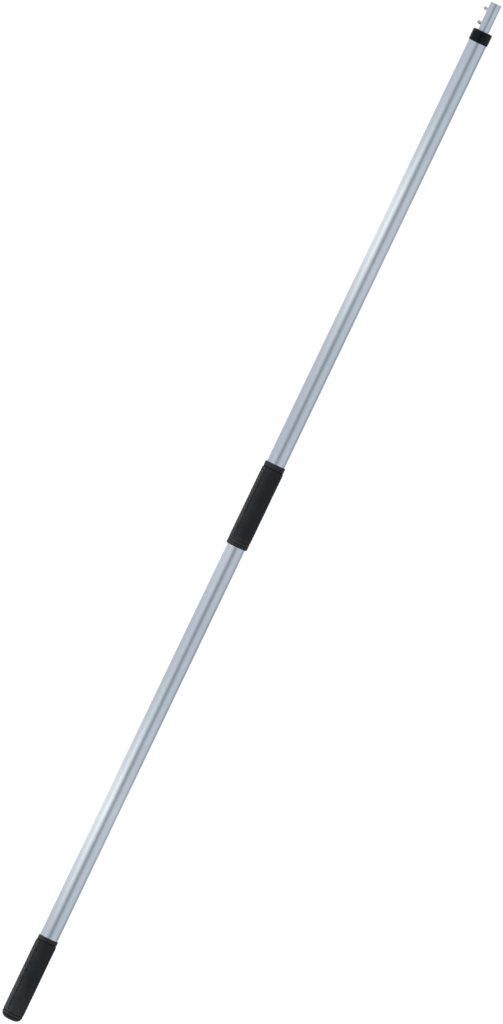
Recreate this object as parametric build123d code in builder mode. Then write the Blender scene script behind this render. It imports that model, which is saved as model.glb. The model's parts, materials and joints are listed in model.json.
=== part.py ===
from build123d import *
import math
import os

# A telescoping roller extension pole, shown closed. Millimetres. The pole stands on its butt:
# the origin is the centre of the butt face, +Z runs up the pole to the tool stub, and the two
# snap buttons face -X. Rotationally symmetric pieces are turned from a half section in the
# XZ plane, where the first coordinate is the radius and the second is the height.

os.makedirs("parts", exist_ok=True)

# --- driving dimensions -------------------------------------------------------------------
inch = 25.4
collar_top = 72 * inch          # butt to the collar's top face
stub_exposed = 2 * inch         # tool stub that stands out of the collar
tube_radius = 1.25 * inch / 2   # outer tube
tube_wall = 1.4
inner_radius = 1.0 * inch / 2   # sliding inner tube
inner_wall = 1.25
stub_radius = 0.75 * inch / 2   # tool stub
stub_wall = 1.4

collar_radius = 1.34375 * inch / 2
collar_head = 0.8125 * inch     # height of the head on top of the outer tube
collar_spigot = 60.0            # length of the guide inside the outer tube
running_gap = 0.06              # radial play of a sliding fit

grip_length = 6 * inch
middle_grip_bottom = 875.8
middle_grip_radius = 18.8
butt_grip_length = 150.8
butt_grip_radius = 18.2
butt_wall = 8.0                 # thickness of the closed butt end
butt_rounding = 12.0
end_ring = 7.6                  # end of a grip to the middle of its ring groove
ring_groove = 1.1               # radius of the ring groove's section
grip_rim = 2.0                  # rounding of a grip's open rim
panel_half_angle = 46.0         # a smooth panel reaches this far either side of its middle
panel_turn = 6.0                # the panels' middles, turned this far from -Y and +Y
panel_groove = 0.7              # radius of the grooves that run along a panel's edges

pitch = 2.5                     # thread of the lock stud, per turn
lock_turn = 0.5                 # turns from free to locked
lock_travel = pitch * lock_turn
cone_slope = 0.2                # radius per height on the cone nut and in its sleeve
stud_radius = 5.0

button_radius = 3.0             # head, outside the stub
neck_radius = 3.2               # guided part, in the hole through the stub's wall
button_stand_out = 0.25 * inch  # button above the stub's surface
button_travel = 6.2
button_pitch = 1.0 * inch       # between the two buttons
top_button_drop = 14.0          # tip of the stub to the upper button

# --- heights and radii worked out from them -------------------------------------------------
tube_bore = tube_radius - tube_wall
inner_bore = inner_radius - inner_wall
stub_bore = stub_radius - stub_wall
tip = collar_top + stub_exposed
tube_top = collar_top - collar_head

plug_flange = 2.0
tube_bottom = butt_wall + plug_flange
plug_top = tube_bottom + 22.0
bumper_top = plug_top + 8.0

lock_bottom = bumper_top + 0.5  # the closed pole's lock hangs just clear of the bumper
screw_head = 2.5
washer_bottom = lock_bottom + screw_head
washer_thickness = 1.2
nut_bottom = washer_bottom + washer_thickness + 1.0
nut_flange = 3.0
nut_height = 16.0
sleeve_bottom = nut_bottom + nut_flange + lock_travel + 0.35
sleeve_height = 38.0
sleeve_top = sleeve_bottom + sleeve_height
lower_plug_bottom = sleeve_top + 0.2
lower_flange = 10.0
inner_tube_bottom = lower_plug_bottom + lower_flange
lower_plug_top = inner_tube_bottom + 32.0

bush_flange = 2.5
bush_recess = 0.5               # bush flange below the collar's top when the pole is closed
inner_tube_top = collar_top - bush_recess - bush_flange
bush_bottom = inner_tube_top - 60.0
stub_bottom = bush_bottom + 4.0

upper_button_height = tip - top_button_drop
lower_button_height = upper_button_height - button_pitch


# --- outer tube -----------------------------------------------------------------------------
with BuildPart() as outer_tube:
    with BuildSketch(Plane.XY.offset(tube_bottom)):
        Circle(tube_radius)
        Circle(tube_bore, mode=Mode.SUBTRACT)
    extrude(amount=tube_top - tube_bottom)
    chamfer(outer_tube.edges().filter_by(GeomType.CIRCLE), length=0.3)
outer_tube.part.label = "outer_tube"
export_step(outer_tube.part, "parts/outer_tube.step")

# --- mouth collar: head on the tube's rim, guide spigot inside it, two bearing lands ---------
land = 12.0                     # length of each bearing land
land_radius = inner_radius + running_gap
relief_radius = inner_radius + 0.4
relief_run = 1.0                # length of the slope between a land and the relief
collar_rounding = 2.6
collar_mouth_chamfer = 0.4
spigot_chamfer = 0.8
spigot_bottom = tube_top - collar_spigot
with BuildPart() as mouth_collar:
    with BuildSketch(Plane.XZ):
        with BuildLine():
            Polyline(
                (land_radius, spigot_bottom),
                (tube_bore, spigot_bottom),
                (tube_bore, tube_top),
                (collar_radius, tube_top),
                (collar_radius, collar_top),
                (land_radius, collar_top),
                (land_radius, collar_top - land),
                (relief_radius, collar_top - land - relief_run),
                (relief_radius, spigot_bottom + land + relief_run),
                (land_radius, spigot_bottom + land),
                close=True,
            )
        make_face()
    revolve(axis=Axis.Z)
    rims = mouth_collar.edges().filter_by(GeomType.CIRCLE)
    fillet(rims.group_by(Axis.Z)[-1].sort_by(SortBy.RADIUS)[-1], radius=collar_rounding)
    chamfer(mouth_collar.edges().filter_by(GeomType.CIRCLE).group_by(Axis.Z)[-1]
            .sort_by(SortBy.RADIUS)[0], length=collar_mouth_chamfer)
    chamfer(mouth_collar.edges().filter_by(GeomType.CIRCLE).group_by(Axis.Z)[0]
            .sort_by(SortBy.RADIUS)[-1], length=spigot_chamfer)
mouth_collar.part.label = "mouth_collar"
export_step(mouth_collar.part, "parts/mouth_collar.step")


# --- middle grip: moulded sleeve with an end ring at each end and two smooth panels ----------
middle_grip_top = middle_grip_bottom + grip_length
panel_angles = [side + panel_turn + reach for side in (-90, 90)
                for reach in (-panel_half_angle, panel_half_angle)]
with BuildPart() as middle_grip:
    with BuildSketch(Plane.XY.offset(middle_grip_bottom)):
        Circle(middle_grip_radius)
        Circle(tube_radius, mode=Mode.SUBTRACT)
    extrude(amount=grip_length)
    rims = middle_grip.edges().filter_by(GeomType.CIRCLE).filter_by(
        lambda edge: edge.radius > tube_radius + 1)
    fillet(rims, radius=grip_rim)
    with BuildSketch(Plane.XZ):
        with Locations((middle_grip_radius, middle_grip_bottom + end_ring),
                       (middle_grip_radius, middle_grip_top - end_ring)):
            Circle(ring_groove)
    revolve(axis=Axis.Z, mode=Mode.SUBTRACT)
    with BuildSketch(Plane.XY.offset(middle_grip_bottom + end_ring)):
        for angle in panel_angles:
            with PolarLocations(middle_grip_radius, 1, start_angle=angle):
                Circle(panel_groove)
    extrude(amount=grip_length - 2 * end_ring, mode=Mode.SUBTRACT)
middle_grip.part.label = "middle_grip"
export_step(middle_grip.part, "parts/middle_grip.step")

# --- butt grip: the same moulding with a closed, rounded end ---------------------------------
butt_panel_bottom = butt_rounding + 4
butt_panel_top = butt_grip_length - end_ring
with BuildPart() as butt_grip:
    with BuildSketch(Plane.XY):
        Circle(butt_grip_radius)
    extrude(amount=butt_grip_length)
    fillet(butt_grip.edges().group_by(Axis.Z)[0], radius=butt_rounding)
    fillet(butt_grip.edges().filter_by(GeomType.CIRCLE).group_by(Axis.Z)[-1], radius=grip_rim)
    with BuildSketch(Plane.XY.offset(butt_wall)):
        Circle(tube_radius)
    extrude(amount=butt_grip_length, mode=Mode.SUBTRACT)
    with BuildSketch(Plane.XZ):
        with Locations((butt_grip_radius, butt_panel_top)):
            Circle(ring_groove)
    revolve(axis=Axis.Z, mode=Mode.SUBTRACT)
    with BuildSketch(Plane.XY.offset(butt_panel_bottom)):
        for angle in panel_angles:
            with PolarLocations(butt_grip_radius, 1, start_angle=angle):
                Circle(panel_groove)
    extrude(amount=butt_panel_top - butt_panel_bottom, mode=Mode.SUBTRACT)
butt_grip.part.label = "butt_grip"
export_step(butt_grip.part, "parts/butt_grip.step")

# --- butt plug: flanged cup pressed into the tube's lower end --------------------------------
cup_radius = tube_bore - 2.2
cup_floor = 2.5
lead_in = 1.0                   # chamfer that starts a piece into its bore
with BuildPart() as butt_plug:
    with BuildSketch(Plane.XZ):
        with BuildLine():
            Polyline(
                (cup_radius, butt_wall),
                (tube_radius, butt_wall),
                (tube_radius, tube_bottom),
                (tube_bore, tube_bottom),
                (tube_bore, plug_top - lead_in),
                (tube_bore - lead_in, plug_top),
                (0, plug_top),
                (0, plug_top - cup_floor),
                (cup_radius, plug_top - cup_floor),
                close=True,
            )
        make_face()
    revolve(axis=Axis.Z)
butt_plug.part.label = "butt_plug"
export_step(butt_plug.part, "parts/butt_plug.step")

# --- bumper: rubber pad on the plug that the closing inner tube comes down on ----------------
bumper_radius = tube_bore - 0.5
with BuildPart() as bumper:
    with BuildSketch(Plane.XY.offset(plug_top)):
        Circle(bumper_radius)
    extrude(amount=bumper_top - plug_top)
    chamfer(bumper.edges().group_by(Axis.Z)[-1], length=lead_in)
bumper.part.label = "bumper"
export_step(bumper.part, "parts/bumper.step")


# --- cone nut: rides up the stud's thread, keyed into the sleeve's slits ---------------------
key_width = 2.0
slit_width = 2.5
slit_count = 3
nut_base_radius = 11.4
nut_cone_bottom = nut_bottom + nut_flange
nut_top = nut_bottom + nut_height
nut_top_radius = nut_base_radius - cone_slope * (nut_top - nut_cone_bottom)
with BuildPart() as cone_nut:
    with BuildSketch(Plane.XZ):
        with BuildLine():
            Polyline(
                (stud_radius + running_gap, nut_bottom),
                (nut_base_radius + 1, nut_bottom),
                (nut_base_radius + 1, nut_cone_bottom),
                (nut_base_radius, nut_cone_bottom),
                (nut_top_radius, nut_top),
                (stud_radius + running_gap, nut_top),
                close=True,
            )
        make_face()
    revolve(axis=Axis.Z)
    with BuildSketch(Plane.XY.offset(nut_bottom)):
        with PolarLocations(0, slit_count):
            with Locations((10.25, 0)):
                Rectangle(6.5, key_width)
    extrude(amount=nut_height - 2)
cone_nut.part.label = "cone_nut"
export_step(cone_nut.part, "parts/cone_nut.step")

# --- expander sleeve: split collet that the cone nut spreads against the outer tube ----------
sleeve_radius = tube_bore - 0.25
cone_gap = cone_slope * lock_travel + 0.06
cone_mouth_radius = nut_base_radius - cone_slope * (sleeve_bottom - nut_cone_bottom) + cone_gap
cone_depth = nut_top + lock_travel + 1 - sleeve_bottom
with BuildPart() as expander_sleeve:
    with BuildSketch(Plane.XZ):
        with BuildLine():
            Polyline(
                (cone_mouth_radius, sleeve_bottom),
                (sleeve_radius, sleeve_bottom),
                (sleeve_radius, sleeve_top),
                (stud_radius + running_gap, sleeve_top),
                (stud_radius + running_gap, sleeve_top - 8),
                (cone_mouth_radius - cone_slope * cone_depth, sleeve_top - 10),
                (cone_mouth_radius - cone_slope * cone_depth, sleeve_bottom + cone_depth),
                close=True,
            )
        make_face()
    revolve(axis=Axis.Z)
    with BuildSketch(Plane.XY.offset(sleeve_bottom)):
        with PolarLocations(0, slit_count):
            with Locations((sleeve_radius - 4, 0)):
                Rectangle(sleeve_radius, slit_width)
    extrude(amount=sleeve_height - 10, mode=Mode.SUBTRACT)
expander_sleeve.part.label = "expander_sleeve"
export_step(expander_sleeve.part, "parts/expander_sleeve.step")


# --- lower plug: pressed into the inner tube, its flange guides in the outer tube ------------
guide_radius = tube_bore - 0.2
stud_top = inner_tube_bottom + 22
cross_pin_height = inner_tube_bottom + 12
cross_pin_radius = 1.5
with BuildPart() as lower_plug:
    with BuildSketch(Plane.XZ):
        with BuildLine():
            Polyline(
                (stud_radius, lower_plug_bottom),
                (guide_radius - lead_in, lower_plug_bottom),
                (guide_radius, lower_plug_bottom + lead_in),
                (guide_radius, inner_tube_bottom - lead_in),
                (guide_radius - lead_in, inner_tube_bottom),
                (inner_bore, inner_tube_bottom),
                (inner_bore, lower_plug_top - lead_in),
                (inner_bore - lead_in, lower_plug_top),
                (0, lower_plug_top),
                (0, stud_top),
                (stud_radius, stud_top),
                close=True,
            )
        make_face()
    revolve(axis=Axis.Z)
    with BuildSketch(Plane.XZ.offset(-inner_radius)):
        with Locations((0, cross_pin_height)):
            Circle(cross_pin_radius)
    extrude(amount=2 * inner_radius, mode=Mode.SUBTRACT)
lower_plug.part.label = "lower_plug"
export_step(lower_plug.part, "parts/lower_plug.step")

# --- lock stud: threaded post, drawn at its outer diameter -----------------------------------
screw_radius = 2.0
screw_length = 14.0
with BuildPart() as lock_stud:
    with BuildSketch(Plane.XY.offset(washer_bottom + washer_thickness)):
        Circle(stud_radius)
    extrude(amount=stud_top - washer_bottom - washer_thickness)
    chamfer(lock_stud.edges().group_by(Axis.Z)[0], length=0.6)
    with BuildSketch(Plane.XY.offset(washer_bottom + washer_thickness)):
        Circle(screw_radius)
    extrude(amount=screw_length, mode=Mode.SUBTRACT)
    with BuildSketch(Plane.XZ.offset(-inner_radius)):
        with Locations((0, cross_pin_height)):
            Circle(cross_pin_radius)
    extrude(amount=2 * inner_radius, mode=Mode.SUBTRACT)
lock_stud.part.label = "lock_stud"
export_step(lock_stud.part, "parts/lock_stud.step")

# --- washer and screw that keep the cone nut on the stud -------------------------------------
with BuildPart() as stud_washer:
    with BuildSketch(Plane.XY.offset(washer_bottom)):
        Circle(8.0)
        Circle(screw_radius + 0.3, mode=Mode.SUBTRACT)
    extrude(amount=washer_thickness)
stud_washer.part.label = "stud_washer"
export_step(stud_washer.part, "parts/stud_washer.step")

with BuildPart() as stud_screw:
    with BuildSketch(Plane.XY.offset(lock_bottom)):
        Circle(3.8)
    extrude(amount=screw_head)
    fillet(stud_screw.edges().group_by(Axis.Z)[0], radius=1.2)
    with BuildSketch(Plane.XY.offset(washer_bottom)):
        Circle(screw_radius)
    extrude(amount=screw_length - 1)
    with BuildSketch(Plane.XY.offset(lock_bottom)):
        Rectangle(4.4, 1.0)
        Rectangle(1.0, 4.4)
    extrude(amount=1.3, mode=Mode.SUBTRACT)
stud_screw.part.label = "stud_screw"
export_step(stud_screw.part, "parts/stud_screw.step")

# --- cross pin through inner tube, plug and stud ---------------------------------------------
pin_half_length = inner_radius - 0.25
with BuildPart() as plug_cross_pin:
    with BuildSketch(Plane.XZ.offset(-pin_half_length)):
        with Locations((0, cross_pin_height)):
            Circle(cross_pin_radius)
    extrude(amount=2 * pin_half_length)
plug_cross_pin.part.label = "plug_cross_pin"
export_step(plug_cross_pin.part, "parts/plug_cross_pin.step")


# --- inner tube -----------------------------------------------------------------------------
stub_pin_height = bush_bottom + 28
stub_pin_radius = 2.0
with BuildPart() as inner_tube:
    with BuildSketch(Plane.XY.offset(inner_tube_bottom)):
        Circle(inner_radius)
        Circle(inner_bore, mode=Mode.SUBTRACT)
    extrude(amount=inner_tube_top - inner_tube_bottom)
    chamfer(inner_tube.edges().filter_by(GeomType.CIRCLE), length=0.25)
    for height, radius in ((cross_pin_height, cross_pin_radius),
                           (stub_pin_height, stub_pin_radius)):
        with BuildSketch(Plane.XZ.offset(-inner_radius)):
            with Locations((0, height)):
                Circle(radius)
        extrude(amount=2 * inner_radius, mode=Mode.SUBTRACT)
inner_tube.part.label = "inner_tube"
export_step(inner_tube.part, "parts/inner_tube.step")

# --- stub bush: flanged sleeve that centres the tool stub in the inner tube ------------------
with BuildPart() as stub_bush:
    with BuildSketch(Plane.XZ):
        with BuildLine():
            Polyline(
                (stub_bore, bush_bottom),
                (inner_bore, bush_bottom),
                (inner_bore, inner_tube_top),
                (inner_radius, inner_tube_top),
                (inner_radius, inner_tube_top + bush_flange - 0.5),
                (inner_radius - 0.5, inner_tube_top + bush_flange),
                (stub_radius, inner_tube_top + bush_flange),
                (stub_radius, stub_bottom),
                (stub_bore, stub_bottom),
                close=True,
            )
        make_face()
    revolve(axis=Axis.Z)
    with BuildSketch(Plane.XZ.offset(-inner_radius)):
        with Locations((0, stub_pin_height)):
            Circle(stub_pin_radius)
    extrude(amount=2 * inner_radius, mode=Mode.SUBTRACT)
stub_bush.part.label = "stub_bush"
export_step(stub_bush.part, "parts/stub_bush.step")

# --- tool stub: the narrow tube that tools slide onto ----------------------------------------
button_hole_radius = neck_radius + running_gap
button_heights = (lower_button_height, upper_button_height)
with BuildPart() as tool_stub:
    with BuildSketch(Plane.XY.offset(stub_bottom)):
        Circle(stub_radius)
        Circle(stub_bore, mode=Mode.SUBTRACT)
    extrude(amount=tip - stub_bottom)
    rims = tool_stub.edges().filter_by(GeomType.CIRCLE).group_by(Axis.Z)[-1]
    chamfer(rims.sort_by(SortBy.RADIUS)[-1], length=0.6)
    with BuildSketch(Plane.YZ):
        with Locations(*[(0, height) for height in button_heights]):
            Circle(button_hole_radius)
    extrude(amount=-stub_radius, mode=Mode.SUBTRACT)
    with BuildSketch(Plane.XZ.offset(-inner_radius)):
        with Locations((0, stub_pin_height)):
            Circle(stub_pin_radius)
    extrude(amount=2 * inner_radius, mode=Mode.SUBTRACT)
tool_stub.part.label = "tool_stub"
export_step(tool_stub.part, "parts/tool_stub.step")

with BuildPart() as stub_cross_pin:
    with BuildSketch(Plane.XZ.offset(-pin_half_length)):
        with Locations((0, stub_pin_height)):
            Circle(stub_pin_radius)
    extrude(amount=2 * pin_half_length)
stub_cross_pin.part.label = "stub_cross_pin"
export_step(stub_cross_pin.part, "parts/stub_cross_pin.step")


# --- button housing: plastic core in the stub with a pocket for each button and its spring ---
pocket_radius = 4.2
pocket_floor = 6.6
housing_bottom = lower_button_height - 9
housing_top = upper_button_height + 8
with BuildPart() as button_housing:
    with BuildSketch(Plane.XY.offset(housing_bottom)):
        Circle(stub_bore)
    extrude(amount=housing_top - housing_bottom)
    chamfer(button_housing.edges().filter_by(GeomType.CIRCLE), length=0.5)
    with BuildSketch(Plane.YZ.offset(pocket_floor)):
        with Locations(*[(0, height) for height in button_heights]):
            Circle(pocket_radius)
    extrude(amount=-pocket_floor - stub_radius, mode=Mode.SUBTRACT)
button_housing.part.label = "button_housing"
export_step(button_housing.part, "parts/button_housing.step")

# --- snap buttons and their springs, one of each at two heights ------------------------------
flange_face = -6.8              # outer face of the button's shoulder, inside the stub's wall
shoulder = 1.5
neck_end = -stub_radius - 0.1
button_tip = -stub_radius - button_stand_out
dome_start = button_tip + button_radius
post_end = flange_face + shoulder + 2.4
post_radius = 1.6
shoulder_radius = pocket_radius - 0.1
wire_radius = 0.35
coil_radius = 2.9
spring_start = flange_face + shoulder + wire_radius + 0.05
spring_length = pocket_floor - wire_radius - 0.05 - spring_start
for name, height in (("lower", lower_button_height), ("upper", upper_button_height)):
    with BuildPart() as button:
        with BuildSketch(Plane.XZ):
            with BuildLine():
                Line((button_tip, height), (post_end, height))
                Polyline(
                    (post_end, height),
                    (post_end, height + post_radius),
                    (flange_face + shoulder, height + post_radius),
                    (flange_face + shoulder, height + shoulder_radius),
                    (flange_face, height + shoulder_radius),
                    (flange_face, height + neck_radius),
                    (neck_end, height + neck_radius),
                    (neck_end, height + button_radius),
                    (dome_start, height + button_radius),
                )
                CenterArc((dome_start, height), button_radius, 90, 90)
            make_face()
        revolve(axis=Axis((0, 0, height), (1, 0, 0)))
    button.part.label = f"{name}_button"
    export_step(button.part, f"parts/{name}_button.step")

    coil = Helix(pitch=2.0, height=spring_length, radius=coil_radius,
                 center=(spring_start, 0, height), direction=(1, 0, 0))
    with BuildPart() as spring:
        with BuildLine():
            add(coil)
        with BuildSketch(Plane(origin=coil @ 0, z_dir=coil % 0)):
            Circle(wire_radius)
        sweep(is_frenet=True)
    spring.part.label = f"{name}_button_spring"
    export_step(spring.part, f"parts/{name}_button_spring.step")

print(f"overall height {tip:.1f} mm, cone travel {lock_travel:.3f} mm per {360 * lock_turn:.0f} degrees")
print(f"lower flange to spigot {spigot_bottom - inner_tube_bottom:.2f} mm")
print(f"thread lead {pitch / 1000 / (2 * math.pi):.9f} m per radian")
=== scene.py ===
import json
import math
import random

import bmesh
import bpy
import numpy as np
from mathutils import Matrix, Vector


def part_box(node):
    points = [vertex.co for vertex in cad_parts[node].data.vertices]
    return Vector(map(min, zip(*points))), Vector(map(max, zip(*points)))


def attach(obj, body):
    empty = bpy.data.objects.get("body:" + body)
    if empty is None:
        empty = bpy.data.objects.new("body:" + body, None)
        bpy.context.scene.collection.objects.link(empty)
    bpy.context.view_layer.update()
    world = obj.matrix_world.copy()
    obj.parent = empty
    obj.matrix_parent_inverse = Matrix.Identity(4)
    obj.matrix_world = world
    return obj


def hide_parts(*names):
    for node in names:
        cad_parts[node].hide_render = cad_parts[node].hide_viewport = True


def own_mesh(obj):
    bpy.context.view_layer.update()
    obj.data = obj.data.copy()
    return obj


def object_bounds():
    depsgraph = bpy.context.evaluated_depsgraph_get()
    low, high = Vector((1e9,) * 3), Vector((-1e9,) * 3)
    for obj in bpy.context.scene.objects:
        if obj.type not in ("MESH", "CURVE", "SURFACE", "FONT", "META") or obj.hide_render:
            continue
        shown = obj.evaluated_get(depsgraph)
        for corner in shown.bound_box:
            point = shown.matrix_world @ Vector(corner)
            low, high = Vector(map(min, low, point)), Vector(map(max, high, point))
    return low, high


# A telescoping roller extension pole, closed, standing on its butt: +Z runs up the pole, the two
# snap buttons face -X and the smooth panels of the grips face -Y and +Y, turned a little towards
# +X and -X. Everything is in metres. An azimuth is measured round the pole from the front, -Y,
# towards +X.

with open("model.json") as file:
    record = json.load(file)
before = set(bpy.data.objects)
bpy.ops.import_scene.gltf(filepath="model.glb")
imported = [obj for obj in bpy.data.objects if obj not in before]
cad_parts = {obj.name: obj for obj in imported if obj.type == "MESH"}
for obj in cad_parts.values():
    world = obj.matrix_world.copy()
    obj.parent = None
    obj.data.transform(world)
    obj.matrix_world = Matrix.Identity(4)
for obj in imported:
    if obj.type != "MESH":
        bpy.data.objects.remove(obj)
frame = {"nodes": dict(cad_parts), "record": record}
cad_low, cad_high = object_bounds()
MM = 0.001

# --- places, from the frame -----------------------------------------------------------------------
tube_low, tube_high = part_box("outer_tube")
inner_low, inner_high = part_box("inner_tube")
collar_low, collar_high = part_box("mouth_collar")
stub_low, stub_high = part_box("tool_stub")
middle_low, middle_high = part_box("middle_grip")
butt_low, butt_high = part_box("butt_grip")
TUBE_RADIUS = tube_high.x
INNER_RADIUS = inner_high.x
STUB_RADIUS = stub_high.x
COLLAR_RADIUS = collar_high.x
BUTTON_HEIGHTS = [sum((corner.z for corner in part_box(node)), 0.0) / 2
                  for node in ("lower_button", "upper_button")]

# --- sizes of the pieces that are made here -------------------------------------------------------
TUBE_WALL = 1.4 * MM
INNER_WALL = 1.25 * MM
STUB_WALL = 1.4 * MM
BUTTON_HOLE = 3.26 * MM         # radius
DEBURR = 0.25 * MM              # depth of the countersink that breaks a drilled hole's edge
COLLAR_LAND = 12.76 * MM        # bore of the collar, round the sliding tube
COLLAR_ROUNDING = 2.6 * MM
TURNS = 160                     # faces round a turned piece
GRIP_TURNS = 308                # faces round a grip, a whole number to each rib and each flute
GRIP_STEP = 0.5 * MM            # height of a grip's rows
FIT = 0.02 * MM                 # gap between a grip's bore and the tube it is pressed on
END_RING = 1.5 * MM             # a ring of faces this far from an edge keeps a long wall's shading straight


# === mesh code ====================================================================================
def make_piece(name, vertices, faces, sharp=35):
    """A piece with its faces turned outwards, shaded smooth but for edges of more than sharp degrees."""
    mesh = bpy.data.meshes.new(name)
    mesh.from_pydata(vertices, [], faces)
    work = bmesh.new()
    work.from_mesh(mesh)
    bmesh.ops.recalc_face_normals(work, faces=work.faces)
    if work.calc_volume(signed=True) < 0:
        bmesh.ops.reverse_faces(work, faces=work.faces)
    work.to_mesh(mesh)
    work.free()
    mesh.shade_smooth()
    mesh.set_sharp_from_angle(angle=math.radians(sharp))
    piece = bpy.data.objects.new(name, mesh)
    bpy.context.scene.collection.objects.link(piece)
    return piece


def around(azimuth, radius, height):
    """The point at this azimuth round the pole."""
    return (radius * math.sin(azimuth), -radius * math.cos(azimuth), height)


def join_rings(rings, closed):
    """Faces between rings of vertex numbers. A ring of one number is a point on the axis."""
    pairs = list(zip(rings, rings[1:]))
    if closed:
        pairs.append((rings[-1], rings[0]))
    faces = []
    for low, high in pairs:
        count = max(len(low), len(high))
        for i in range(count):
            j = (i + 1) % count
            if len(low) == 1:
                faces.append((low[0], high[j], high[i]))
            elif len(high) == 1:
                faces.append((low[i], low[j], high[0]))
            else:
                faces.append((low[i], low[j], high[j], high[i]))
    return faces


def turn(name, outline, closed=True, turns=TURNS, placed=Matrix()):
    """A turned piece: the outline is (radius, height) points, turned about +Z and then placed."""
    vertices, rings = [], []
    for radius, height in outline:
        first = len(vertices)
        count = 1 if radius < 1e-9 else turns
        for i in range(count):
            vertices.append(placed @ Vector(around(math.tau * i / turns, radius, height)))
        rings.append(list(range(first, first + count)))
    return make_piece(name, vertices, join_rings(rings, closed))


def arc(centre, radius, start, end, steps=8):
    """Points of an arc in an outline, from one angle in degrees to another, 0 facing outwards."""
    points = []
    for i in range(steps + 1):
        angle = math.radians(start + (end - start) * i / steps)
        points.append((centre[0] + radius * math.cos(angle), centre[1] + radius * math.sin(angle)))
    return points


def drill(piece, radius, height, direction, through):
    """A round hole through one wall, or right through, with its outer edges broken by countersinks."""
    surface = max(vertex.co.x for vertex in piece.data.vertices)
    outer_half = [(radius, surface - DEBURR), (radius + 2 * DEBURR, surface + DEBURR),
                  (radius + 2 * DEBURR, 2 * surface), (0, 2 * surface)]
    if through:
        outline = [(r, -depth) for r, depth in reversed(outer_half)] + outer_half
    else:
        outline = [(0, 0), (radius, 0)] + outer_half
    turned = Vector(direction).to_track_quat("Z", "Y").to_matrix().to_4x4()
    placed = Matrix.Translation((0, 0, height)) @ turned
    cutter = turn("cutter", outline, closed=False, turns=64, placed=placed)
    cut = piece.modifiers.new("hole", "BOOLEAN")
    cut.operation = "DIFFERENCE"
    cut.solver = "EXACT"
    cut.object = cutter
    bpy.context.view_layer.update()
    done = bpy.data.meshes.new_from_object(piece.evaluated_get(bpy.context.evaluated_depsgraph_get()))
    piece.modifiers.clear()
    piece.data = done
    bpy.data.objects.remove(cutter)
    done.shade_smooth()
    done.set_sharp_from_angle(angle=math.radians(35))


def drill_for_pin(piece, pin):
    """The hole that a CAD cross pin goes through."""
    pin_low, pin_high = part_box(pin)
    drill(piece, (pin_high.x - pin_low.x) / 2, (pin_low.z + pin_high.z) / 2, (0, 1, 0), through=True)


def tube(name, radius, wall, low, high, outer_edge=0.3 * MM, inner_edge=0.2 * MM):
    """A plain tube with its rims broken."""
    bore = radius - wall
    near_low, near_high = low + END_RING, high - END_RING
    outline = [
        (bore, near_low), (bore, low + inner_edge), (bore + inner_edge, low),
        *arc((radius - outer_edge, low + outer_edge), outer_edge, -90, 0, 4),
        (radius, near_low), (radius, near_high),
        *arc((radius - outer_edge, high - outer_edge), outer_edge, 0, 90, 4),
        (bore + inner_edge, high), (bore, high - inner_edge), (bore, near_high),
    ]
    return turn(name, outline)


# === grips ========================================================================================
def smooth(values):
    """A smooth step from 0 to 1."""
    values = np.clip(values, 0, 1)
    return values * values * (3 - 2 * values)


PANEL_HALF = math.radians(47)   # a panel reaches this far either side of its middle
PANEL_CORNER = 7.5 * MM         # rounding of a panel's outline
EDGE_GROOVE = (1.25 * MM, 1.35 * MM)    # depth and half-width of the groove round a panel
RIB_PITCH = 6.3 * MM            # along the pole
RIB_STARTS = 14                 # ribs that a ring round the grip crosses
RIB_HEIGHT = 0.5 * MM
RIB_FADE = 2 * MM               # a rib fades out over this height at both ends of its band
GAP_DEPTH = 0.3 * MM            # extra depth of every second gap between ribs
UNEVENNESS = 0.035 * MM         # of the moulding
WOBBLE = 0.16 * MM              # of a panel's outline
CAP_FLUTES = 22                 # round the cap ring at a grip's upper end
FLUTE_HEIGHT = 0.10 * MM
WAVES = 6                       # slow waves that the unevenness and the wobble are the sum of


def outside_panel(azimuths, height, body, grip):
    """How far each point lies outside the nearest panel's rounded outline, less than 0 within it."""
    across = ((azimuths - grip["panel_turn"] + math.pi / 2) % math.pi - math.pi / 2) * body
    low, high = grip["panel"]
    past_side = np.abs(across) - PANEL_HALF * body + PANEL_CORNER
    past_end = abs(height - (low + high) / 2) - (high - low) / 2 + PANEL_CORNER
    corner = np.hypot(np.maximum(past_side, 0), max(past_end, 0))
    return corner + np.minimum(np.maximum(past_side, past_end), 0) - PANEL_CORNER


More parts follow.
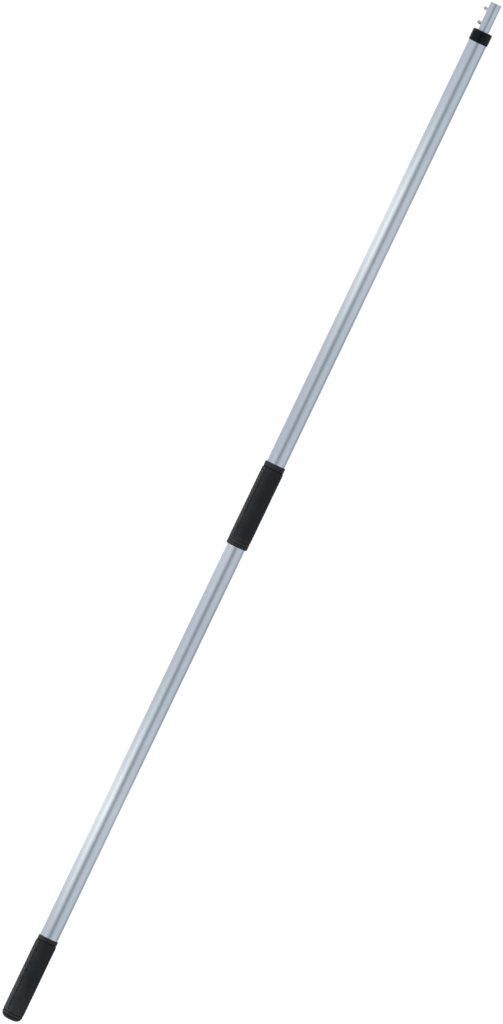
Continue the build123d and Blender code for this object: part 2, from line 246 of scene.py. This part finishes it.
def grip_skin(azimuths, height, grip):
    """A grip's moulded surface all round at one height: radius, wear with painted light, and painted shade
    in its grooves.
    """
    along = (height - grip["low"]) / (grip["high"] - grip["low"])
    body = grip["low_radius"] + (grip["high_radius"] - grip["low_radius"]) * along

    # A slow unevenness of the moulding, and a wobble of the grooves round the panels.
    uneven = np.zeros_like(azimuths)
    wobble = np.zeros_like(azimuths)
    for turns, rise, phase in grip["waves"]:
        uneven = uneven + np.sin(turns * azimuths + rise * height + phase)
        wobble = wobble + np.sin(2 * rise * height + phase + 2 * turns * azimuths)
    radius = body + UNEVENNESS * uneven
    outside = outside_panel(azimuths, height, body, grip) + WOBBLE * wobble

    # Ribs run round the sides on a slant. Every second gap between them is deeper.
    ribs_low, ribs_high = grip["ribs"]
    inside = smooth((height - ribs_low) / RIB_FADE) * smooth((ribs_high - height) / RIB_FADE)
    rib_turn = height / RIB_PITCH + RIB_STARTS * azimuths / math.tau
    crest = smooth((np.cos(math.tau * rib_turn) + 0.45) / 1.1)
    second = 0.5 + 0.5 * np.cos(math.pi * (rib_turn - 0.5))
    band = smooth((outside - 1.1 * MM) / (1.4 * MM)) * inside
    radius = radius + band * ((crest - 0.6) * RIB_HEIGHT - GAP_DEPTH * (1 - crest) * second)

    # The groove round a panel is dotted: it deepens into a pit where a gap runs into it.
    depth, width = EDGE_GROOVE
    near_gap = smooth((0.25 - np.cos(math.tau * rib_turn + 0.6)) / 1.0)
    pit = 0.38 + near_gap * (0.15 + 0.6 * second)
    groove_and_shade = np.exp(-(outside / width) ** 2) * inside
    radius = radius - depth * groove_and_shade * pit
    # Painted shade darkens the groove, most in its pits.
    painted_shade = groove_and_shade * pit

    # Ring lines, darkened by painted shade. One that rises towards the sides has a rubbed ridge above it.
    ridge = np.zeros_like(azimuths)
    for place, depth, width, lift in grip["rings"]:
        centre = place + lift * np.sin(azimuths - grip["panel_turn"]) ** 2
        ring = np.exp(-((height - centre) / width) ** 2)
        radius = radius - depth * ring
        painted_shade = painted_shade + ring * min(1, depth / (0.8 * MM))
        ridge = ridge + np.exp(-((height - centre - 2.6 * width) / (1.2 * width)) ** 2) * (lift > 0)

    # The cap ring at the upper end is a little narrower than the body, and fluted.
    cap_low, sink = grip["cap"]
    on_cap = smooth((height - cap_low + 0.3 * MM) / (0.6 * MM))
    flute = smooth((np.cos(CAP_FLUTES * azimuths) - 0.1) / 0.8)
    radius = radius - on_cap * (sink + FLUTE_HEIGHT * flute)

    # Rubbed wear lightens the crests of the ribs. A painted light lightens the crests more towards the
    # lower end, and all of the grip more and more towards the lower end.
    strength, reach = grip["lightened"]
    lightened = strength * smooth((grip["low"] + reach - height) / reach)
    worn_and_lit = band * crest * (1.15 - 0.45 * along) + 0.35 * on_cap * (1 - flute) + 0.5 * ridge + lightened
    return radius, np.clip(worn_and_lit * (1 - painted_shade), 0, 1), np.clip(painted_shade, 0, 1)


def grip_rows(azimuths, grip):
    """Rows of (radius, height, wear and painted light, painted shade) up the outside of a grip, rounded at
    each end.
    """
    rows = []
    low_wide, low_tall = grip["low_rounding"]
    high_wide, high_tall = grip["high_rounding"]
    low_edge = grip["low"] + low_tall
    high_edge = grip["high"] - high_tall
    steps = max(8, round(1.5 * low_tall / GRIP_STEP))
    for i in range(steps):
        angle = 0.5 * math.pi * i / steps
        height = low_edge - low_tall * math.cos(angle)
        radius, worn_and_lit, painted_shade = grip_skin(azimuths, height, grip)
        rows.append((radius - low_wide * (1 - math.sin(angle)), height, worn_and_lit, painted_shade))
    count = round((high_edge - low_edge) / GRIP_STEP)
    for i in range(count + 1):
        height = low_edge + (high_edge - low_edge) * i / count
        radius, worn_and_lit, painted_shade = grip_skin(azimuths, height, grip)
        rows.append((radius, height, worn_and_lit, painted_shade))
    for i in range(1, 9):
        angle = 0.5 * math.pi * i / 8
        height = high_edge + high_tall * math.sin(angle)
        rows.append((radius - high_wide * (1 - math.cos(angle)), height, worn_and_lit, painted_shade))
    return rows


def make_grip(name, grip):
    """A moulded sleeve on the outer tube, open at its lower end or closed over the butt."""
    draw = random.Random(grip["seed"])
    grip["waves"] = [(draw.randint(1, 5), draw.uniform(20, 160), draw.uniform(0, math.tau))
                     for _ in range(WAVES)]
    azimuths = np.arange(GRIP_TURNS) * math.tau / GRIP_TURNS
    bore = TUBE_RADIUS + FIT
    none = np.zeros(GRIP_TURNS)
    rows = grip_rows(azimuths, grip)
    rows.append((bore + none, grip["high"], none, none))
    if grip["closed_to"] is None:
        rows.append((bore + none, grip["low"], none, none))
    else:
        rows.insert(0, (0.5 * rows[0][0], grip["low"], none, none))
        rows.append((bore + none, grip["closed_to"], none, none))
    vertices, rings, wear_and_light, groove_shades = [], [], [], []
    for radius, height, worn_and_lit, painted_shade in rows:
        first = len(vertices)
        vertices += [around(azimuth, r, height) for azimuth, r in zip(azimuths, radius)]
        wear_and_light += list(worn_and_lit)
        groove_shades += list(painted_shade)
        rings.append(list(range(first, first + GRIP_TURNS)))
    if grip["closed_to"] is not None:
        for at_end, height in ((False, grip["low"]), (True, grip["closed_to"])):
            vertices.append((0, 0, height))
            wear_and_light.append(0)
            groove_shades.append(0)
            rings.insert(len(rings) if at_end else 0, [len(vertices) - 1])
    piece = make_piece(name, vertices, join_rings(rings, grip["closed_to"] is None), sharp=50)
    # Two attributes: wear with painted light, and painted shade in the grooves and ring lines.
    for attribute, values in (("wear_and_light", wear_and_light), ("groove_and_shade", groove_shades)):
        layer = piece.data.attributes.new(attribute, "FLOAT", "POINT")
        layer.data.foreach_set("value", np.array(values, np.float32))
    return piece


def foot_rings(low, depth):
    """The two ring lines near a grip's lower end: height, depth, width and rise towards the sides."""
    width = 0.75 * MM
    return [(low + 5.4 * MM, depth, width, 2.0 * MM), (low + 11.3 * MM, depth, width, 1.2 * MM)]


def cap_notch(place):
    """The notch under a grip's cap ring, as a ring line."""
    return (place, 1.1 * MM, 1.0 * MM, 0)


# A grip's values: turn of its panels, ends, radii of its body, how far each end's rounding reaches
# inwards and upwards, heights of the panels and of the ribs, ring lines, the cap ring's lower edge
# and how much narrower it is, and how strongly and how far up it is lightened by painted light.
plug_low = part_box("butt_plug")[0]
middle_grip = make_grip("middle_grip_moulding", {
    "seed": 11, "closed_to": None, "panel_turn": math.radians(7.5),
    "low": middle_low.z, "high": middle_high.z,
    "low_radius": 18.8 * MM, "high_radius": 18.7 * MM,
    "low_rounding": (2.6 * MM, 2.6 * MM), "high_rounding": (2.0 * MM, 2.0 * MM),
    "panel": (middle_low.z + 11.5 * MM, middle_high.z),
    "ribs": (middle_low.z + 12.2 * MM, middle_high.z - 11 * MM),
    "rings": foot_rings(middle_low.z, 0.4125 * MM) + [cap_notch(middle_high.z - 10.0 * MM)],
    "cap": (middle_high.z - 9.6 * MM, 0.65 * MM),
    "lightened": (0.35, 34 * MM),
})
butt_grip = make_grip("butt_grip_moulding", {
    "seed": 23, "closed_to": plug_low.z, "panel_turn": math.radians(10.5),
    "low": butt_low.z, "high": butt_high.z,
    "low_radius": 18.15 * MM, "high_radius": 18.1 * MM,
    "low_rounding": (12.0 * MM, 10.4 * MM), "high_rounding": (1.8 * MM, 1.8 * MM),
    "panel": (butt_low.z + 12.5 * MM, butt_high.z),
    "ribs": (butt_low.z + 13.2 * MM, butt_high.z - 9.4 * MM),
    "rings": foot_rings(butt_low.z, 0.75 * MM) + [cap_notch(butt_high.z - 8.4 * MM)],
    "cap": (butt_high.z - 8.0 * MM, 0.8 * MM),
    "lightened": (0.42, 85 * MM),
})

# === tubes and collar =============================================================================
outer_tube = tube("outer_tube_drawn", TUBE_RADIUS, TUBE_WALL, tube_low.z, tube_high.z)
inner_tube = tube("inner_tube_drawn", INNER_RADIUS, INNER_WALL, inner_low.z, inner_high.z)
stub = tube("tool_stub_drawn", STUB_RADIUS, STUB_WALL, stub_low.z, stub_high.z, outer_edge=0.6 * MM)
for button_height in BUTTON_HEIGHTS:
    drill(stub, BUTTON_HOLE, button_height, (-1, 0, 0), through=False)
drill_for_pin(inner_tube, "plug_cross_pin")
drill_for_pin(inner_tube, "stub_cross_pin")

COLLAR_LEAD_IN = 0.8 * MM
COLLAR_EDGE = 0.5 * MM          # rounding of its lower edge
MOUTH_EDGE = 0.4 * MM           # rounding of the edge round the sliding tube
spigot = TUBE_RADIUS - TUBE_WALL
top = collar_high.z
collar = turn("mouth_collar_moulding", [
    (COLLAR_LAND, collar_low.z),
    (spigot - COLLAR_LEAD_IN, collar_low.z),
    (spigot, collar_low.z + COLLAR_LEAD_IN),
    (spigot, collar_low.z + COLLAR_LEAD_IN + END_RING),
    (spigot, tube_high.z),
    *arc((COLLAR_RADIUS - COLLAR_EDGE, tube_high.z + COLLAR_EDGE), COLLAR_EDGE, -90, 0, 4),
    (COLLAR_RADIUS, tube_high.z + COLLAR_EDGE + END_RING),
    (COLLAR_RADIUS, top - COLLAR_ROUNDING - END_RING),
    *arc((COLLAR_RADIUS - COLLAR_ROUNDING, top - COLLAR_ROUNDING), COLLAR_ROUNDING, 0, 90, 12),
    *arc((COLLAR_LAND + MOUTH_EDGE, top - MOUTH_EDGE), MOUTH_EDGE, 90, 180, 4),
])


# === lock stud ====================================================================================
THREAD_PITCH = 2.5 * MM
THREAD_DEPTH = 0.9 * MM
THREAD_ROWS = 14                # rows of faces to a turn of the thread
SCREW_HOLE = (2.0 * MM, 14.0 * MM)      # radius and depth
POST_CHAMFER = 0.6 * MM
POST_TURNS = 96                 # faces round it


def threaded_post(name, low, high, thread_top):
    """A post with a right-hand thread up to where it is pressed in, and a hole for its screw below."""
    radius = high.x
    bore, depth = SCREW_HOLE
    outline = [(0, low.z + depth), (bore, low.z + depth), (bore, low.z), (radius - POST_CHAMFER, low.z)]
    thread_low = low.z + POST_CHAMFER
    count = math.ceil((thread_top - thread_low) / THREAD_PITCH * THREAD_ROWS)
    outline += [(radius, thread_low + (thread_top - thread_low) * i / count) for i in range(count + 1)]
    outline += [(radius, high.z - POST_CHAMFER), (radius - POST_CHAMFER, high.z), (0, high.z)]
    post = turn(name, outline, closed=False, turns=POST_TURNS)
    for vertex in post.data.vertices:
        place = vertex.co
        if math.hypot(place.x, place.y) > radius - 0.001 * MM and place.z < thread_top:
            turned = place.z / THREAD_PITCH - math.atan2(place.x, -place.y) / math.tau
            root = 1 - smooth((math.cos(math.tau * turned) + 0.55) / 1.1)
            starts = smooth((place.z - thread_low) / (0.5 * MM))
            runs_out = smooth((thread_top - place.z) / THREAD_PITCH)
            place.xy *= 1 - THREAD_DEPTH / radius * root * starts * runs_out
    return post


post_low, post_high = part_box("lock_stud")
lower_plug_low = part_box("lower_plug")[0]
post = threaded_post("lock_stud_threaded", post_low, post_high, lower_plug_low.z)
drill_for_pin(post, "plug_cross_pin")


# === button springs ===============================================================================
SPRING_WIRE = 0.35 * MM         # radius of the wire
SPRING_TURNS = 6.5
SPRING_STEPS = 330              # places along the wire
CLOSED_TURN = 0.6               # turns wound close at each end, and as many more to open to full pitch
WIRE_SIDES = 12


def coil_spring(name, low, high):
    """A coil spring along X that fills a box, with a closed turn at each end."""
    mean_radius = (high.z - low.z) / 2 - SPRING_WIRE
    middle = (low.z + high.z) / 2
    turn_at = np.linspace(0, SPRING_TURNS, SPRING_STEPS)
    opened = smooth((np.minimum(turn_at, SPRING_TURNS - turn_at) - CLOSED_TURN) / CLOSED_TURN)
    span = high.x - low.x - 2 * SPRING_WIRE
    closed_advance = 2.1 * SPRING_WIRE
    extra = (span / SPRING_TURNS - closed_advance) / opened.mean()
    advance = closed_advance + extra * opened
    places = np.concatenate([[0], np.cumsum((advance[1:] + advance[:-1]) / 2 * np.diff(turn_at))])
    places = low.x + SPRING_WIRE + places * span / places[-1]
    vertices, rings = [], []
    for turned, place in zip(turn_at * math.tau, places):
        outward = Vector((0, math.cos(turned), math.sin(turned)))
        centre = Vector((place, 0, middle)) + mean_radius * outward
        first = len(vertices)
        for i in range(WIRE_SIDES):
            side = math.tau * i / WIRE_SIDES
            across = math.cos(side) * outward + math.sin(side) * Vector((1, 0, 0))
            vertices.append(centre + SPRING_WIRE * across)
        rings.append(list(range(first, first + WIRE_SIDES)))
    wire_ends = [tuple(rings[0]), tuple(rings[-1])]
    return make_piece(name, vertices, join_rings(rings, False) + wire_ends, sharp=50)


# === materials ====================================================================================
class Nodes:
    """A material whose colour, roughness and surface come from patterns in the piece's own space."""

    def __init__(self, name, metallic=0.0, roughness=0.5, specular=0.5):
        self.material = bpy.data.materials.new(name)
        self.material.use_nodes = True
        self.tree = self.material.node_tree
        self.shader = self.tree.nodes["Principled BSDF"]
        self.shader.inputs["Metallic"].default_value = metallic
        self.shader.inputs["Roughness"].default_value = roughness
        self.shader.inputs["Specular IOR Level"].default_value = specular
        self.place = self.tree.nodes.new("ShaderNodeTexCoord").outputs["Object"]

    def stretched(self, scale):
        """The piece's own space, scaled."""
        mapping = self.tree.nodes.new("ShaderNodeMapping")
        mapping.inputs["Scale"].default_value = scale
        self.tree.links.new(self.place, mapping.inputs["Vector"])
        return mapping.outputs["Vector"]

    def noise(self, scale, detail=3.0, rough=0.55, distortion=0.0):
        """Fractal noise. The scale is in repeats per metre along x, y and z."""
        node = self.tree.nodes.new("ShaderNodeTexNoise")
        node.inputs["Scale"].default_value = 1.0
        node.inputs["Detail"].default_value = detail
        node.inputs["Roughness"].default_value = rough
        node.inputs["Distortion"].default_value = distortion
        self.tree.links.new(self.stretched(scale), node.inputs["Vector"])
        return node.outputs["Fac"]

    def cells(self, scale):
        """Distance from the middle of the nearest cell."""
        node = self.tree.nodes.new("ShaderNodeTexVoronoi")
        node.inputs["Scale"].default_value = 1.0
        self.tree.links.new(self.stretched(scale), node.inputs["Vector"])
        return node.outputs["Distance"]

    def attribute(self, name):
        """A value that the mesh holds."""
        node = self.tree.nodes.new("ShaderNodeAttribute")
        node.attribute_name = name
        return node.outputs["Fac"]

    def along(self, axis):
        """The place along X, Y or Z."""
        node = self.tree.nodes.new("ShaderNodeSeparateXYZ")
        self.tree.links.new(self.place, node.inputs["Vector"])
        return node.outputs[axis]

    def spread(self, value, low, high, to_low=0.0, to_high=1.0):
        """The value's range from low to high, spread over another, and held at its ends."""
        node = self.tree.nodes.new("ShaderNodeMapRange")
        node.inputs["From Min"].default_value = low
        node.inputs["From Max"].default_value = high
        node.inputs["To Min"].default_value = to_low
        node.inputs["To Max"].default_value = to_high
        self.tree.links.new(value, node.inputs["Value"])
        return node.outputs["Result"]

    def both(self, first, second):
        """The product of two values."""
        node = self.tree.nodes.new("ShaderNodeMath")
        node.operation = "MULTIPLY"
        self.tree.links.new(first, node.inputs[0])
        self.tree.links.new(second, node.inputs[1])
        return node.outputs["Value"]

    def blend(self, share, first, second):
        """A colour between two, each a plain colour or the output of another blend."""
        node = self.tree.nodes.new("ShaderNodeMix")
        node.data_type = "RGBA"
        self.tree.links.new(share, node.inputs["Factor"])
        for socket, colour in ((node.inputs[6], first), (node.inputs[7], second)):
            if isinstance(colour, tuple):
                socket.default_value = (*colour, 1.0)
            else:
                self.tree.links.new(colour, socket)
        return node.outputs[2]

    def colour(self, value):
        self.tree.links.new(value, self.shader.inputs["Base Color"])

    def roughness(self, value):
        self.tree.links.new(value, self.shader.inputs["Roughness"])

    def relief(self, *layers):
        """Bumps from (height, depth in metres) layers, each on top of the one before."""
        normal = None
        for height, depth in layers:
            node = self.tree.nodes.new("ShaderNodeBump")
            node.inputs["Strength"].default_value = 1.0
            node.inputs["Distance"].default_value = depth
            self.tree.links.new(height, node.inputs["Height"])
            if normal is not None:
                self.tree.links.new(normal, node.inputs["Normal"])
            normal = node.outputs["Normal"]
        self.tree.links.new(normal, self.shader.inputs["Normal"])


def shade(colour, amount):
    return tuple(channel * amount for channel in colour)


ALUMINIUM = (0.60, 0.685, 0.80)


def satin_aluminium(name, scuffs):
    """Anodised drawn tube: fine lengthwise lines, faint clouding and a few rubbed lines."""
    nodes = Nodes(name, metallic=1.0)
    lines = nodes.noise((2600, 2600, 14), detail=4)
    clouds = nodes.noise((28, 28, 9), detail=3)
    rubbed = nodes.spread(nodes.noise((900, 900, 5), detail=2), 0.62, 0.72)
    clouded = nodes.blend(nodes.spread(clouds, 0.35, 0.65), shade(ALUMINIUM, 0.965),
                          shade(ALUMINIUM, 1.02))
    lined = nodes.blend(nodes.spread(lines, 0.42, 0.75, 0.0, 0.28), clouded, shade(ALUMINIUM, 0.80))
    lightened = nodes.both(rubbed, nodes.spread(clouds, 0.3, 0.7, 0.0, scuffs))
    nodes.colour(nodes.blend(lightened, lined, shade(ALUMINIUM, 1.12)))
    nodes.roughness(nodes.spread(lines, 0.3, 0.7, 0.27, 0.36))
    nodes.relief((lines, 0.012 * MM), (nodes.noise((4200, 4200, 700), detail=2), 0.006 * MM))
    return nodes.material


def black_plastic():
    """Moulded collar and plugs: near black with a faint gloss, a fine even grain and a slight mottle."""
    nodes = Nodes("black_plastic", specular=0.165)
    nodes.shader.inputs["Specular Tint"].default_value = (0.80, 1.0, 1.16, 1)
    grain = nodes.noise((2400, 2400, 2400), detail=3)
    mottle = nodes.noise((140, 140, 60), detail=3)
    nodes.colour(nodes.blend(nodes.spread(mottle, 0.35, 0.65), (0.0010, 0.0012, 0.0016),
                             (0.0022, 0.0025, 0.0031)))
    nodes.roughness(nodes.spread(mottle, 0.3, 0.7, 0.15, 0.23))
    nodes.relief((grain, 0.015 * MM))
    return nodes.material


def black_rubber():
    """Moulded grips: spark-eroded grain, rib crests lightened by wear and painted light, clouded patches
    and painted shade in the grooves.
    """
    nodes = Nodes("black_rubber", specular=0.12)
    grain = nodes.noise((1900, 1900, 1900), detail=4, rough=0.65)
    pores = nodes.cells((1500, 1500, 1500))
    patches = nodes.noise((70, 70, 34), detail=4, distortion=0.6)
    tint = nodes.noise((38, 38, 22), detail=2)
    flecks = nodes.spread(nodes.noise((620, 620, 420), detail=3), 0.58, 0.70)
    worn_and_lit = nodes.attribute("wear_and_light")
    cool = nodes.blend(nodes.spread(tint, 0.4, 0.6), (0.0076, 0.0102, 0.0115), (0.0089, 0.0098, 0.0118))
    plain = nodes.blend(nodes.spread(patches, 0.35, 0.75), shade((0.0080, 0.0096, 0.0111), 0.78), cool)
    # Lighter grey from rubbed wear, and from painted light that grows towards the grip's lower end.
    wear_and_light_share = nodes.both(worn_and_lit, nodes.spread(patches, 0.3, 0.65, 0.4, 0.9))
    rubbed = nodes.blend(wear_and_light_share, plain, (0.0240, 0.0245, 0.0255))
    fleck_share = nodes.both(nodes.both(worn_and_lit, flecks), nodes.spread(patches, 0.35, 0.6, 0.2, 0.7))
    flecked = nodes.blend(fleck_share, rubbed, (0.052, 0.052, 0.052))
    # Painted shade darkens the grooves and ring lines.
    groove_shade_share = nodes.spread(nodes.attribute("groove_and_shade"), 0.08, 0.62, 0.0, 0.94)
    nodes.colour(nodes.blend(groove_shade_share, flecked, (0.0022, 0.0024, 0.0026)))
    nodes.roughness(nodes.spread(patches, 0.3, 0.7, 0.60, 0.76))
    nodes.relief((grain, 0.09 * MM), (pores, 0.05 * MM))
    return nodes.material


def natural_acetal():
    """Off-white moulded bearing plastic with flow marks and a little depth."""
    nodes = Nodes("natural_acetal", specular=0.45)
    flow = nodes.noise((110, 110, 30), detail=3, distortion=1.2)
    grain = nodes.noise((2200, 2200, 2200), detail=2)
    nodes.shader.inputs["Subsurface Weight"].default_value = 0.12
    nodes.shader.inputs["Subsurface Radius"].default_value = (0.002, 0.0018, 0.0014)
    nodes.colour(nodes.blend(nodes.spread(flow, 0.3, 0.7), (0.74, 0.72, 0.65), (0.82, 0.81, 0.76)))
    nodes.roughness(nodes.spread(flow, 0.3, 0.7, 0.36, 0.5))
    nodes.relief((grain, 0.02 * MM))
    return nodes.material


def zinc_steel():
    """Zinc plated pins, washer, screw and springs: a soft crystal mottle."""
    nodes = Nodes("zinc_steel", metallic=1.0)
    crystals = nodes.cells((900, 900, 900))
    tarnish = nodes.noise((260, 260, 260), detail=4)
    bright = nodes.blend(nodes.spread(crystals, 0.1, 0.7), (0.60, 0.61, 0.63), (0.49, 0.50, 0.53))
    nodes.colour(nodes.blend(nodes.spread(tarnish, 0.5, 0.75, 0.0, 0.6), bright, (0.40, 0.39, 0.37)))
    nodes.roughness(nodes.spread(tarnish, 0.3, 0.7, 0.28, 0.46))
    nodes.relief((nodes.noise((1800, 1800, 1800), detail=3), 0.012 * MM))
    return nodes.material


def button_steel():
    """Turned steel buttons: fine rings round each button, bright shanks and a painted shade over the
    rounded end.
    """
    nodes = Nodes("button_steel", metallic=1.0)
    rings = nodes.noise((5200, 260, 260), detail=3)
    # Painted shade darkens the rounded end of each button towards -X.
    end_shade_starts, end_shade_full = -12.6 * MM, -13.4 * MM
    end = nodes.spread(nodes.along("X"), end_shade_starts, end_shade_full)
    bright = nodes.blend(nodes.spread(rings, 0.35, 0.65), (0.90, 0.92, 0.94), (0.95, 0.96, 0.97))
    nodes.colour(nodes.blend(end, bright, (0.36, 0.37, 0.40)))
    nodes.roughness(nodes.spread(rings, 0.3, 0.7, 0.24, 0.36))
    nodes.relief((rings, 0.01 * MM))
    return nodes.material


MATERIALS = {
    "satin_aluminium": satin_aluminium("satin_aluminium", 0.35),
    "sliding_aluminium": satin_aluminium("sliding_aluminium", 0.9),
    "black_plastic": black_plastic(),
    "black_rubber": black_rubber(),
    "natural_acetal": natural_acetal(),
    "steel": zinc_steel(),
    "button_steel": button_steel(),
}


def finish_piece(piece, body, node, slot, material=None):
    """Gives a piece its material, and puts it on a body in the place of a CAD node."""
    piece.data.materials.clear()
    piece.data.materials.append(MATERIALS[material or slot])
    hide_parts(node)
    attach(piece, body)


finish_piece(outer_tube, "outer", "outer_tube", "satin_aluminium")
finish_piece(collar, "outer", "mouth_collar", "black_plastic")
finish_piece(middle_grip, "outer", "middle_grip", "black_rubber")
finish_piece(butt_grip, "outer", "butt_grip", "black_rubber")
finish_piece(inner_tube, "inner", "inner_tube", "satin_aluminium", "sliding_aluminium")
finish_piece(stub, "inner", "tool_stub", "satin_aluminium")
finish_piece(post, "inner", "lock_stud", "natural_acetal")

for side in ("lower", "upper"):
    spring_low, spring_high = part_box(f"{side}_button_spring")
    spring = coil_spring(f"{side}_button_coil", spring_low, spring_high)
    finish_piece(spring, "inner", f"{side}_button_spring", "steel")
    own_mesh(spring)

for subpart in frame["record"]["subparts"]:
    node = frame["nodes"][subpart["node"]]
    for material_slot in node.material_slots:
        material_slot.material = MATERIALS[subpart["material_slot"]]


# === studio =======================================================================================
def make_floor():
    """A pale light table, large enough to fill every view's background."""
    half = 400.0
    corners = [(-half, -half, 0), (half, -half, 0), (half, half, 0), (-half, half, 0)]
    floor = make_piece("floor", corners, [(0, 1, 2, 3)])
    nodes = Nodes("pale_floor", roughness=1.0, specular=0.0)
    clouds = nodes.noise((0.8, 0.8, 0.8), detail=2)
    nodes.colour(nodes.blend(clouds, (0.045, 0.045, 0.045), (0.05, 0.05, 0.05)))
    nodes.shader.inputs["Emission Color"].default_value = (1, 1, 1, 1)
    nodes.shader.inputs["Emission Strength"].default_value = 0.88
    floor.data.materials.append(nodes.material)
    floor.visible_glossy = False
    floor.visible_diffuse = False


BASE_LIGHT = Vector((0.755, 0.755, 0.755))
POOL_LIGHT = Vector((1.60, 1.40, 1.12))
# Darker stretches of the tent: azimuth and half-width in degrees, and depth.
SLOT = (2.5, 19.0, 0.61)        # ahead
FLAG = (122.0, 16.0, 0.52)      # to the right
REAR = (180.0, 40.0, 0.30)
LEFT = (-75.0, 55.0, 0.09)
# Pools of light: height, half-height and strength.
POOLS = ((1.442, 0.10, 1.0), (0.333, 0.10, 1.0), (0.835, 0.05, 0.5))


def dip(value, place, width, power=2):
    """A soft bump of height 1."""
    return math.exp(-abs((value - place) / width) ** power)


def tent_light(azimuth, height):
    """Light of the tent round the pole, seen only in reflections. Azimuth in degrees, -180 to 180."""
    slot = SLOT[2] * dip(azimuth, SLOT[0], SLOT[1])
    flag = FLAG[2] * dip(azimuth, FLAG[0], FLAG[1])
    rear = REAR[2] * dip(azimuth, REAR[0], REAR[1])
    left = LEFT[2] * dip(azimuth, LEFT[0], LEFT[1])
    pool = sum(strength * dip(height, place, half) for place, half, strength in POOLS)
    pool *= 0.10 + dip(azimuth, -51, 27) + 0.38 * dip(azimuth, -115, 38, 4)
    return BASE_LIGHT * (1 - slot) * (1 - flag) * (1 - rear) * (1 - left) + POOL_LIGHT * pool


def make_tent():
    """A round light tent: plain soft light that only reflections see."""
    radius, low, high = 0.9, -2.0, 5.0
    columns, rows = 180, 280
    vertices, colours, rings = [], [], []
    for row in range(rows + 1):
        height = low + (high - low) * row / rows
        rings.append(list(range(row * columns, (row + 1) * columns)))
        for column in range(columns):
            azimuth = -180 + 360 * column / columns
            vertices.append(around(math.radians(azimuth), radius, height))
            colours += [*tent_light(azimuth, height), 1.0]
    tent = make_piece("light_tent", vertices, join_rings(rings, False))
    layer = tent.data.attributes.new("light", "FLOAT_COLOR", "POINT")
    layer.data.foreach_set("color", np.array(colours, np.float32))
    nodes = Nodes("tent_light", specular=0.0)
    nodes.shader.inputs["Base Color"].default_value = (0, 0, 0, 1)
    nodes.shader.inputs["Emission Strength"].default_value = 1.0
    light = nodes.tree.nodes.new("ShaderNodeAttribute")
    light.attribute_name = "light"
    nodes.tree.links.new(light.outputs["Color"], nodes.shader.inputs["Emission Color"])
    tent.data.materials.append(nodes.material)
    tent.visible_camera = False
    tent.visible_diffuse = False
    tent.visible_shadow = False
    tent.visible_transmission = False


def make_sun(name, energy, angle, toward):
    """A soft lamp far away that lights only the matt surfaces."""
    light = bpy.data.lights.new(name, "SUN")
    light.energy = energy
    light.angle = math.radians(angle)
    sun = bpy.data.objects.new(name, light)
    sun.rotation_euler = Vector(toward).to_track_quat("Z", "Y").to_euler()
    sun.visible_glossy = False
    bpy.context.scene.collection.objects.link(sun)


def make_world():
    world = bpy.data.worlds.new("studio")
    world.use_nodes = True
    background = world.node_tree.nodes["Background"]
    background.inputs["Color"].default_value = (1, 1, 1, 1)
    background.inputs["Strength"].default_value = 1.03
    bpy.context.scene.world = world


def make_camera():
    """From the front, a little above and far away, with the pole leaning to the right."""
    elevation = math.radians(2.5)
    lean = math.radians(25.603)
    distance = 37.956
    middle = (cad_low[2] + cad_high[2]) / 2
    aim = Vector((-2.2 * MM, 0, middle - 0.75 * MM))
    data = bpy.data.cameras.new("camera")
    data.lens = 800
    data.sensor_width = 36
    data.clip_end = 2000
    camera = bpy.data.objects.new("camera", data)
    away = Vector((0, -math.cos(elevation), math.sin(elevation)))
    turned = away.to_track_quat("Z", "Y").to_matrix().to_4x4() @ Matrix.Rotation(lean, 4, "Z")
    camera.matrix_world = Matrix.Translation(aim + distance * away) @ turned
    bpy.context.scene.collection.objects.link(camera)
    bpy.context.scene.camera = camera


make_floor()
make_tent()
make_sun("left_softbox", 9.6, 60, (-0.95, -0.2, 0.55))
make_sun("overhead", 2.0, 30, (0, 0, 1))
make_sun("right_fill", 3.2, 50, (1, -0.15, 0.15))
make_world()
make_camera()
bpy.context.scene.view_settings.view_transform = "Standard"
